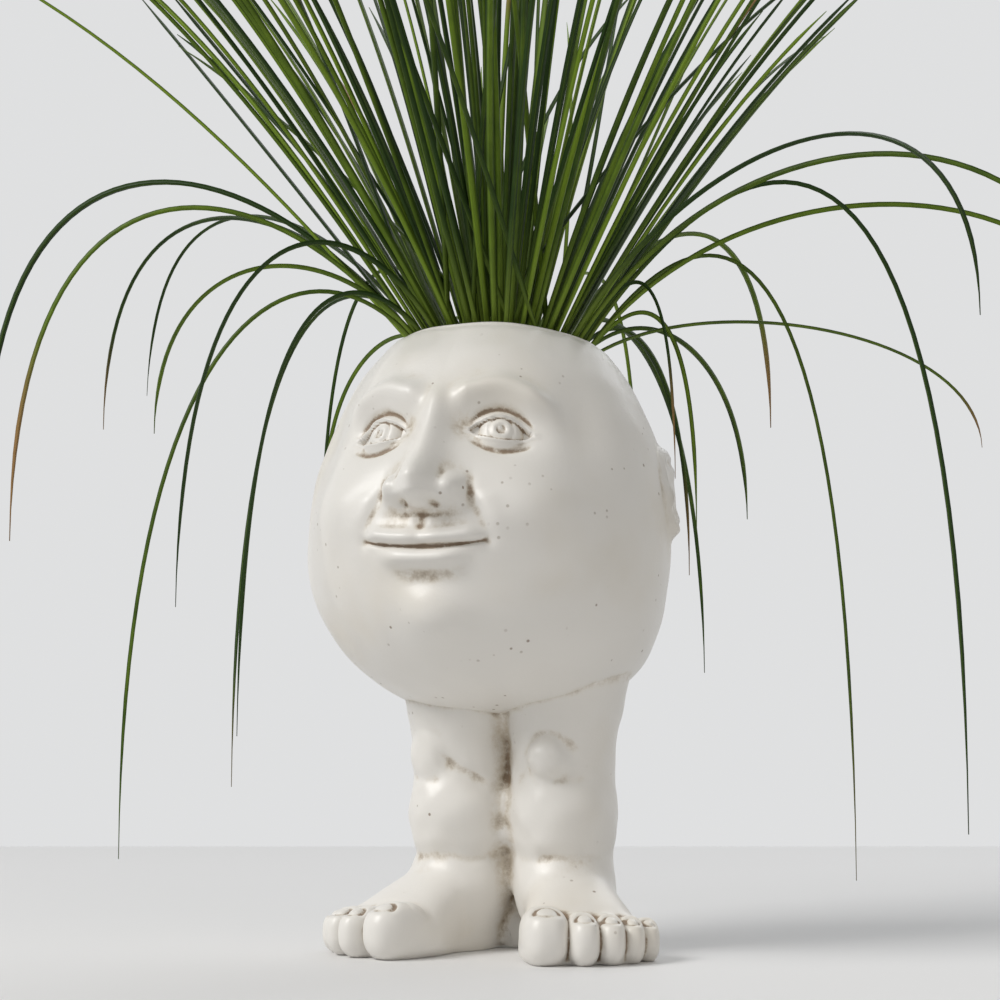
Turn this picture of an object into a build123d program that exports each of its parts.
"""Head planter: a hollow cast head on a pair of bare-footed legs, with a drop-in pot of long grass.

The head casting is a tilted egg, open at the crown. A ledge inside its mouth carries the lip of a grow pot,
which lifts out along the head's axis with its soil and plant. A rubber plug closes the drain under the head.
Millimetres, +Z up, the face looks along -Y, and the origin is on the floor under the middle of the head.
"""

import math
import os

from build123d import *

os.makedirs("parts", exist_ok=True)

# Shared values
overrun = 20.0  # how far a cutting tool passes the faces it opens
golden_angle = 180.0 * (3.0 - math.sqrt(5.0))  # degrees between one leaf of the plant and the next
quarter_share = 4.0 / 3.0 * (math.sqrt(2.0) - 1.0)  # handle of a curve that follows a quarter ellipse
half_share = 4.0 / 3.0  # handle of a curve that follows a half oval
belly_share = 0.664  # handle of the fuller quarter under the widest level
belly_power = 2.4  # and the power of the oval that it follows

# Head casting, heights along the head's axis from its widest level
head_radius = 86.0  # half the width at the widest level
head_level = 190.0  # widest level above the floor
head_drop = 82.0  # widest level to the underside
head_tilt = 10.0  # degrees that the head leans back
wall = 7.0
head_floor = 9.0  # thickness of the casting at its underside
mouth_height = 95.0  # edge of the open crown
crown_closing = 22.0  # that edge to where the crown would close
head_rise = mouth_height + crown_closing  # widest level to where the crown would close
rim_wall = 5.0  # thickness of the casting at that edge
mouth_edge = 2.2  # rounding of the edge
mouth_edge_share = 0.45  # and its limit over that wall
ledge_depth = 14.0  # edge down to the ledge that carries the grow pot
ledge_width = 3.0
ledge_thickness = 10.0

# Face, on thirds along the front: mouth edge to brow, brow to nose base, nose base to chin
brow_height = 50.0
eye_height = 35.0
nose_height = 5.0  # middle of the nose's tip
cheek_height = -3.0
lips_height = -18.0
chin_height = -48.0
ear_height = 28.0
eye_spread = 27.0  # mid-line to the middle of an eye
eye_radius = 13.0
eye_sink = 10.5  # middle of the eyeball under the head's surface
brow_length = 20.0  # half-lengths and radii of the forms on the head
brow_radius = 8.0
brow_sink = 4.5
brow_slope = 8.0  # degrees that a brow falls away from the nose
bridge_length = 25.0
bridge_radius = 12.0
bridge_sink = 4.0
bridge_lean = 10.0  # degrees that the bridge of the nose follows the head's front
tip_radius = 12.0  # tip of the nose
tip_reach = 6.0  # middle of the tip in front of the head
wing_radius = 8.0  # wings of the nose
wing_sink = 1.0
wing_spread = 10.5
cheek_depth = 17.0  # half the depth of a cheek
cheek_radius = 24.0
cheek_spread = 41.0
cheek_sink = 12.0
lip_length = 26.0
lip_radius = 8.5
lip_rise = 5.0  # mouth line to the middle of a lip
lip_sink = 5.5
chin_length = 18.0
chin_radius = 14.0
chin_sink = 7.5
ear_length = 25.0
ear_radius = 11.0
ear_sink = 5.0
ear_lean = 14.0  # degrees that an ear follows the head's side

# Leg casting: each join is how far a leg passes the mid-line into the other one
leg_aside = 12.0  # mid-line of the legs beside the head's axis
leg_spread = 24.5  # that mid-line to the axis of a leg
thigh_join = 5.5
thigh_depth = 29.0  # half the depth of a leg under the head
knee_level = 84.0
knee_join = 1.0
knee_depth = 26.5
ankle_level = 42.0
ankle_join = 0.5
ankle_depth = 24.5
heel_join = 1.0
heel_depth = 26.0
kneecap_depth = 9.0  # half the depth of the kneecap, and its radius
kneecap_radius = 13.5
seat_cover = 6.0  # height of a leg inside the egg before the seat is cut
foot_splay = 28.0  # degrees that each foot turns out
foot_length = 56.0  # leg axis to the roots of the toes
foot_width = 29.0  # half-width across the ball of the foot
instep_height = 48.0
toe_radius = 13.0  # big toe
toe_length = 16.0  # half the length of the big toe
# Foot sections: place along the foot, half-width and height, as shares of its length, width and instep
foot_shares = ((0.0, 0.86, 1.0), (0.42, 0.88, 0.76), (0.76, 0.98, 0.50), (1.0, 1.0, 0.36))
# Toes from the big one outwards: place across and along the foot, and size, as shares of foot and big toe
toe_shares = (
    (-0.58, 1.04, 1.0),
    (-0.06, 1.13, 0.74),
    (0.32, 1.09, 0.70),
    (0.64, 1.0, 0.66),
    (0.92, 0.87, 0.62),
)
toe_stand_share = 0.82  # height of a toe's middle over its radius

# Drain and plug
drain_behind_legs = 2.0  # drain's axis behind the deepest point of the legs
drain_radius = 4.5
drain_face_depth = 1.5  # flat for the flange, above the egg's underside
drain_face_gap = 1.5  # room round the flange
plug_fit = 0.06  # radial clearance of the stem in the drain
plug_flange_radius = 7.5
plug_flange_thickness = 4.0
plug_stem_length = 6.0
plug_knob_radius = 4.0
plug_knob_length = 5.0

# Grow pot, soil and crown
lip_fit = 0.5  # radial clearance of the pot's lip in the mouth
pot_fit = 1.2  # radial clearance of the pot in the neck
lip_thickness = 3.0
pot_height = 83.0  # ledge down to the pot's underside
pot_foot_radius = 30.0
pot_wall = 1.6
pot_hole_radius = 3.0
pot_hole_circle_share = 0.6  # circle of the drain holes over the radius of the pot's foot
pot_hole_count = 6
soil_fit = 0.25  # soil to the pot's wall
soil_below_ledge = 2.0
crown_margin = 2.5  # bare soil round the crown
crown_height = 4.0
crown_flare = 2.0  # how much wider the crown is on the soil

# Grass
leaf_length = 400.0  # a full-grown leaf
leaf_width = 1.7  # half-width
leaf_thickness = 1.5  # middle line to the keel under it
leaf_edge = 0.5  # middle line up to the raised edges
ring_inset = 2.0  # crown's edge to the ring of trailing leaves
clump_inset = 3.5  # that ring to the clump of upright leaves
rim_lean = 38.5  # degrees from upright of a usual leaf at the rim of the clump
rim_bend = 34.0  # degrees that such a leaf bends over along its length
heart_bend = 12.0  # degrees that the middle leaf bends over
leaf_sway = 32.0  # most that a full-grown leaf of the clump sways aside
sway_turn = 37.8  # degrees of a wave, between the sway of one leaf and the next
lean_turn = 88.2  # the same for the lean
clump_count = 102
clump_stations = 8
trailing_stations = 19
root_width_share = 0.8
tip_width_share = 0.12
clump_length_shares = (0.62, 0.88)  # shortest and longest leaf of the clump
lean_vary_share = 0.1  # how much more or less than usual a leaf leans, at most
trailing_slope_share = 0.6  # outward over upward, where a trailing leaf leaves the crown
trailing_rise_share = 0.5  # length of the first handle over the reach, at most
trailing_turn_share = 0.85  # height of the second handle over the apex
# Trailing leaves: place in the golden spiral, then apex, reach and drop as shares of the leaf length
left_shares = (
    (106, 0.44, 0.56, -0.04),
    (93, 0.50, 0.66, -0.12),
    (114, 0.42, 0.60, -0.20),
    (101, 0.18, 0.45, -0.58),
    (122, 0.19, 0.42, -0.09),
    (109, 0.20, 0.34, -0.44),
    (96, 0.24, 0.46, -0.30),
)
right_shares = (
    (102, 0.42, 0.62, 0.02),
    (123, 0.34, 0.74, -0.06),
    (110, 0.62, 0.55, -0.54),
    (97, 0.30, 0.72, 0.04),
    (118, 0.50, 0.43, -0.60),
    (105, 0.14, 0.64, -0.06),
    (92, 0.14, 0.36, -0.15),
    (113, 0.22, 0.30, -0.22),
)
back_shares = (
    (100, 0.46, 0.60, 0.0),
    (121, 0.20, 0.52, -0.34),
    (108, 0.36, 0.62, -0.16),
    (95, 0.15, 0.40, -0.56),
    (116, 0.52, 0.56, -0.05),
    (103, 0.24, 0.48, -0.42),
    (90, 0.40, 0.58, -0.22),
    (111, 0.14, 0.42, -0.12),
    (98, 0.30, 0.50, -0.50),
    (119, 0.46, 0.58, 0.02),
)

# The head's own frame: z along its axis, y towards the back of the head
tilt = math.radians(head_tilt)
head_axis = Vector(0, math.sin(tilt), math.cos(tilt))
head_frame = Plane(origin=(0, 0, head_level), x_dir=(1, 0, 0), z_dir=head_axis)
seam_way = (head_frame.x_dir + head_frame.y_dir).normalized()  # revolved pieces start behind an ear
head_section = Plane(origin=head_frame.origin, x_dir=seam_way, z_dir=seam_way.cross(head_axis))
turning_axis = Axis(head_frame.origin, head_axis)


def egg_radius(height):
    """Radius of the plain egg at a height along the head's axis."""
    if height > 0:
        return head_radius * math.sqrt(1 - (height / head_rise) ** 2)
    return head_radius * (1 - (-height / head_drop) ** belly_power) ** (1 / belly_power)


def egg_quarter(radius, height):
    """Four points of a curve that follows a quarter oval, from the widest level to the axis."""
    share = quarter_share if height > 0 else belly_share
    return (radius, 0), (radius, share * height), (share * radius, height), (0, height)


def underside(radius):
    """Height above the floor of the egg's underside, at a radius from the vertical through the origin."""
    return head_level - head_drop * (1 - (radius / head_radius) ** belly_power) ** (1 / belly_power)


def spheroid(length, radius):
    """Spheroid about the origin with its axis along X, from half its length and its radius."""
    with BuildPart() as form:
        with BuildSketch():
            with BuildLine():
                Bezier((length, 0), (length, half_share * radius), (-length, half_share * radius), (-length, 0))
                Line((-length, 0), (length, 0))
            make_face()
        revolve(axis=Axis.X)
    return form.part


def swelling(side, height, sink, form):
    """A form on the front of the head, turned to face away from it, its middle under the egg's surface."""
    radius = egg_radius(height)
    facing = Rot(0, 0, math.degrees(math.asin(side / radius)))
    return head_frame.location * facing * Pos(0, sink - radius, height) * form


# Levels and radii that several pieces share
mouth_radius = egg_radius(mouth_height) - rim_wall
neck_radius = mouth_radius - ledge_width
ledge_height = mouth_height - ledge_depth
drain_back = thigh_depth + drain_behind_legs
drain_face = underside(math.hypot(leg_aside, drain_back)) + drain_face_depth
pot_top_radius = neck_radius - pot_fit
pot_bottom = ledge_height - pot_height
pot_floor = pot_bottom + pot_wall
lip_top = ledge_height + lip_thickness
soil_height = ledge_height - soil_below_ledge
soil_foot_radius = pot_foot_radius - pot_wall - soil_fit
pot_taper = (pot_top_radius - pot_foot_radius) / (lip_top - pot_floor)
soil_radius = soil_foot_radius + pot_taper * (soil_height - pot_floor)
crown_top = soil_height + crown_height
crown_radius = soil_radius - crown_margin
ring_radius = crown_radius - crown_flare - ring_inset
clump_radius = ring_radius - clump_inset

# Plain egg, which shapes the head and the seat on top of the legs
with BuildPart() as egg:
    with BuildSketch(head_section):
        with BuildLine():
            Bezier(*egg_quarter(head_radius, -head_drop))
            Bezier(*egg_quarter(head_radius, head_rise))
            Line((0, head_rise), (0, -head_drop))
        make_face()
    revolve(axis=turning_axis)
    split(bisect_by=head_frame.offset(mouth_height), keep=Keep.BOTTOM)

# Face and ears, of a plain general kind: round forms stand out along their axis, long ones lie along it
bridge = Rot(-bridge_lean, 0, 0) * Rot(0, 90, 0) * spheroid(bridge_length, bridge_radius)
tip = Rot(0, 0, 90) * spheroid(tip_radius, tip_radius)
wing = Rot(0, 0, 90) * spheroid(wing_radius, wing_radius)
eye = Rot(0, 0, 90) * spheroid(eye_radius, eye_radius)
cheek = Rot(0, 0, 90) * spheroid(cheek_depth, cheek_radius)
lip = spheroid(lip_length, lip_radius)
face = [
    swelling(0, (brow_height + nose_height) / 2, bridge_sink, bridge),
    swelling(0, nose_height, -tip_reach, tip),
    swelling(0, lips_height + lip_rise, lip_sink, lip),
    swelling(0, lips_height - lip_rise, lip_sink, lip),
    swelling(0, chin_height, chin_sink, spheroid(chin_length, chin_radius)),
]
for hand in (-1, 1):
    brow = Rot(0, hand * brow_slope, 0) * spheroid(brow_length, brow_radius)
    face.append(swelling(hand * wing_spread, nose_height, wing_sink, wing))
    face.append(swelling(hand * eye_spread, brow_height, brow_sink, brow))
    face.append(swelling(hand * eye_spread, eye_height, eye_sink, eye))
    face.append(swelling(hand * cheek_spread, cheek_height, cheek_sink, cheek))
    ear_place = Pos(hand * (egg_radius(ear_height) - ear_sink), 0, ear_height) * Rot(0, 90 - hand * ear_lean, 0)
    face.append(head_frame.location * ear_place * spheroid(ear_length, ear_radius))

# Head casting: egg and face, then the hollow with its ledge, the drain and the rounded edge. It is cast in a
# front and a back half, joined along the mould seam through the ears
hollow_radius = head_radius - wall
hollow_rise = head_rise - wall
hollow_drop = head_drop - head_floor
hollow_top = ledge_height - ledge_thickness
with BuildPart() as head:
    add(egg.part)
    for form in face:
        add(form)
    with BuildSketch(head_section):
        with BuildLine():
            Bezier(*egg_quarter(hollow_radius, -hollow_drop))
            Bezier(*egg_quarter(hollow_radius, hollow_rise))
            Line((0, hollow_rise), (0, -hollow_drop))
        make_face()
        with Locations((0, hollow_top)):
            Rectangle(head_radius, head_rise, align=Align.MIN, mode=Mode.SUBTRACT)
            Rectangle(neck_radius, ledge_thickness, align=Align.MIN)
        with Locations((0, ledge_height)):
            Rectangle(mouth_radius, ledge_depth + overrun, align=Align.MIN)
    revolve(axis=turning_axis, mode=Mode.SUBTRACT)
    with BuildSketch(Plane.XY.offset(drain_face)):
        with Locations((leg_aside, drain_back)):
            Circle(drain_radius)
    extrude(amount=overrun, mode=Mode.SUBTRACT)
    with BuildSketch(Plane.XY.offset(drain_face)):
        with Locations((leg_aside, drain_back)):
            Circle(plug_flange_radius + drain_face_gap)
    extrude(amount=-overrun, mode=Mode.SUBTRACT)
    mouth_face = head.faces().sort_by(turning_axis)[-1]
    fillet(mouth_face.edges(), min(mouth_edge, mouth_edge_share * rim_wall))
seam = Plane(origin=head_frame.origin, x_dir=head_frame.x_dir, z_dir=head_frame.y_dir)
with BuildPart() as head_front:
    add(head.part)
    split(bisect_by=seam, keep=Keep.BOTTOM)
head_front.part.label = "head_front"
export_step(head_front.part, "parts/head_front.step")
with BuildPart() as head_back:
    add(head.part)
    split(bisect_by=seam, keep=Keep.TOP)
head_back.part.label = "head_back"
export_step(head_back.part, "parts/head_back.step")

# Leg casting: one leg with its foot and toes, mirrored, with a seat that fits the egg's underside
splay = math.radians(foot_splay)
foot_forward = Vector(math.sin(splay), -math.cos(splay), 0)
foot_outward = Vector(math.cos(splay), math.sin(splay), 0)
leg_foot = Vector(leg_spread, 0, 0)
leg_top = underside(leg_aside + 2 * leg_spread + thigh_join) + seat_cover
leg_sections = (
    (0, heel_join, heel_depth),
    (ankle_level, ankle_join, ankle_depth),
    (knee_level, knee_join, knee_depth),
    (leg_top, thigh_join, thigh_depth),
)
kneecap = Rot(0, 0, 90) * spheroid(kneecap_depth, kneecap_radius)
bumps = [Pos(leg_spread, -knee_depth, knee_level) * kneecap]
for across, along, size in toe_shares:
    radius = size * toe_radius
    place = leg_foot + foot_outward * (across * foot_width) + foot_forward * (along * foot_length)
    toe = Rot(0, 0, 90 + foot_splay) * spheroid(size * toe_length, radius)
    bumps.append(Pos(place.X, place.Y, toe_stand_share * radius) * toe)
with BuildPart() as legs:
    for level, join, depth in leg_sections:
        with BuildSketch(Plane.XY.offset(level)):
            with Locations((leg_spread, 0)):
                Ellipse(leg_spread + join, depth)
    loft()
    for along, width, height in foot_shares:
        place = leg_foot + foot_forward * (along * foot_length)
        half_width = width * foot_width
        with BuildSketch(Plane(origin=place, x_dir=foot_outward, z_dir=foot_forward)):
            with BuildLine():
                EllipticalCenterArc((0, 0), half_width, height * instep_height, start_angle=0, arc_size=180)
                Line((-half_width, 0), (half_width, 0))
            make_face()
    loft()
    for form in bumps:
        add(form)
    split(bisect_by=Plane.XY, keep=Keep.TOP)
    mirror(about=Plane.YZ)
with BuildPart() as leg_stand:
    with Locations((leg_aside, 0, 0)):
        add(legs.part)
    add(egg.part, mode=Mode.SUBTRACT)
leg_stand.part.label = "leg_stand"
export_step(leg_stand.part, "parts/leg_stand.step")

# Rubber plug, pulled out downwards: knob, flange against the flat, stem in the drain
plug_sections = (
    (drain_face - plug_flange_thickness - plug_knob_length, plug_knob_radius, plug_knob_length),
    (drain_face - plug_flange_thickness, plug_flange_radius, plug_flange_thickness),
    (drain_face, drain_radius - plug_fit, plug_stem_length),
)
with BuildPart() as drain_plug:
    for level, radius, length in plug_sections:
        with BuildSketch(Plane.XY.offset(level)):
            with Locations((leg_aside, drain_back)):
                Circle(radius)
        extrude(amount=length)
drain_plug.part.label = "drain_plug"
export_step(drain_plug.part, "parts/drain_plug.step")

# Grow pot: a tapered cup that hangs by its lip, with drain holes in its floor
with BuildPart() as grow_pot:
    with BuildSketch(head_section):
        with BuildLine():
            Polyline(
                (0, pot_bottom),
                (pot_foot_radius, pot_bottom),
                (pot_top_radius, ledge_height),
                (mouth_radius - lip_fit, ledge_height),
                (mouth_radius - lip_fit, lip_top),
                (pot_top_radius - pot_wall, lip_top),
                (pot_foot_radius - pot_wall, pot_floor),
                (0, pot_floor),
                close=True,
            )
        make_face()
    revolve(axis=turning_axis)
    with BuildSketch(head_frame.offset(pot_floor)):
        with PolarLocations(pot_hole_circle_share * pot_foot_radius, pot_hole_count):
            Circle(pot_hole_radius)
    extrude(amount=-overrun, mode=Mode.SUBTRACT)
grow_pot.part.label = "grow_pot"
export_step(grow_pot.part, "parts/grow_pot.step")

# Potting soil, on the pot's floor
with BuildPart() as potting_soil:
    with BuildSketch(head_section):
        with BuildLine():
            Polyline(
                (0, pot_floor),
                (soil_foot_radius, pot_floor),
                (soil_radius, soil_height),
                (0, soil_height),
                close=True,
            )
        make_face()
    revolve(axis=turning_axis)
potting_soil.part.label = "potting_soil"
export_step(potting_soil.part, "parts/potting_soil.step")

# Crown of the plant: the tight base that every leaf grows from
with BuildPart() as plant_crown:
    with BuildSketch(head_section):
        with BuildLine():
            Polyline(
                (0, soil_height),
                (crown_radius, soil_height),
                (crown_radius - crown_flare, crown_top),
                (0, crown_top),
                close=True,
            )
        make_face()
    revolve(axis=turning_axis)
plant_crown.part.label = "plant_crown"
export_step(plant_crown.part, "parts/plant_crown.step")


def clump_path(index):
    """Radius, then points (out, aside, up) and angles from upright, of a clump leaf, which leans more near the rim."""
    share = math.sqrt((index + 0.5) / clump_count)
    lean = math.radians(rim_lean) * share * (1 + lean_vary_share * math.sin(math.radians(index * lean_turn)))
    sway = leaf_sway * math.sin(math.radians(index * sway_turn))
    bend = math.radians(heart_bend + (rim_bend - heart_bend) * share)
    shortest, longest = clump_length_shares
    grown = (index * golden_angle / 360) % 1
    length = leaf_length * (shortest + (longest - shortest) * grown)
    step = length / (clump_stations - 1)
    out, up, path = 0, 0, []
    for station in range(clump_stations):
        grown_part = (station * step / leaf_length) ** 2
        path.append((out, sway * grown_part, up, lean + bend * grown_part))
        middle = lean + bend * ((station + 0.5) * step / leaf_length) ** 2
        out += step * math.sin(middle)
        up += step * math.cos(middle)
    return clump_radius * share, path


def trailing_path(apex_share, reach_share, drop_share):
    """Radius, then points (out, aside, up) and angles from upright, of a leaf on a cubic curve that turns over."""
    apex = apex_share * leaf_length
    reach = reach_share * leaf_length - ring_radius
    rise = min(apex, trailing_rise_share * reach)
    handles = (
        (0, 0),
        (trailing_slope_share * rise, rise),
        (reach, trailing_turn_share * apex),
        (reach, drop_share * leaf_length),
    )
    path = []
    for station in range(trailing_stations):
        t = station / (trailing_stations - 1)
        weights = ((1 - t) ** 3, 3 * t * (1 - t) ** 2, 3 * t**2 * (1 - t), t**3)
        slopes = (-3 * (1 - t) ** 2, 3 * (1 - t) * (1 - 3 * t), 3 * t * (2 - 3 * t), 3 * t**2)
        out, up = (sum(w * handle[i] for w, handle in zip(weights, handles)) for i in (0, 1))
        run, climb = (sum(w * handle[i] for w, handle in zip(slopes, handles)) for i in (0, 1))
        path.append((out, 0, up, math.atan2(run, climb)))
    return ring_radius, path


def leaf(index, radius, path):
    """One leaf: channelled sections with a keel along its path, from a root flat on the crown to a fine tip."""
    azimuth = math.radians(index * golden_angle)
    outward = Vector(math.cos(azimuth), math.sin(azimuth), 0)
    sideways = Vector(-math.sin(azimuth), math.cos(azimuth), 0)
    on_crown = head_frame.x_dir * math.cos(azimuth) + head_frame.y_dir * math.sin(azimuth)
    along_crown = head_frame.y_dir * math.cos(azimuth) - head_frame.x_dir * math.sin(azimuth)
    root = head_frame.origin + head_axis * crown_top + on_crown * radius
    with BuildPart() as blade:
        for station, (out, aside, up, angle) in enumerate(path):
            t = station / (len(path) - 1)
            width = leaf_width * (1 - (1 - tip_width_share) * t**3)
            thickness = leaf_thickness * width / leaf_width
            edge = leaf_edge * width / leaf_width
            place = root + outward * out + sideways * aside + Vector(0, 0, up)
            along = outward * math.sin(angle) + Vector(0, 0, math.cos(angle))
            section = Plane(origin=place, x_dir=sideways, z_dir=along)
            if station == 0:
                width *= root_width_share
                section = Plane(origin=root, x_dir=along_crown, z_dir=head_axis)
            with BuildSketch(section):
                Polygon((width, edge), (0, 0), (-width, edge), (0, -thickness), align=None)
        loft(ruled=True)
    return blade.part


# Leaves of the clump, from the heart to the rim
third = clump_count // 3
clump_nodes = {
    "leaves_heart": range(0, third),
    "leaves_inner": range(third, 2 * third),
    "leaves_outer": range(2 * third, clump_count),
}
for name, indices in clump_nodes.items():
    leaves = Compound(label=name, children=[leaf(index, *clump_path(index)) for index in indices])
    export_step(leaves, f"parts/{name}.step")

# Leaves that turn over the mouth's edge and hang, all round but in front of the face
trailing_nodes = {
    "leaves_trailing_left": left_shares,
    "leaves_trailing_right": right_shares,
    "leaves_trailing_back": back_shares,
}
for name, rows in trailing_nodes.items():
    leaves = Compound(label=name, children=[leaf(row[0], *trailing_path(*row[1:])) for row in rows])
    export_step(leaves, f"parts/{name}.step")
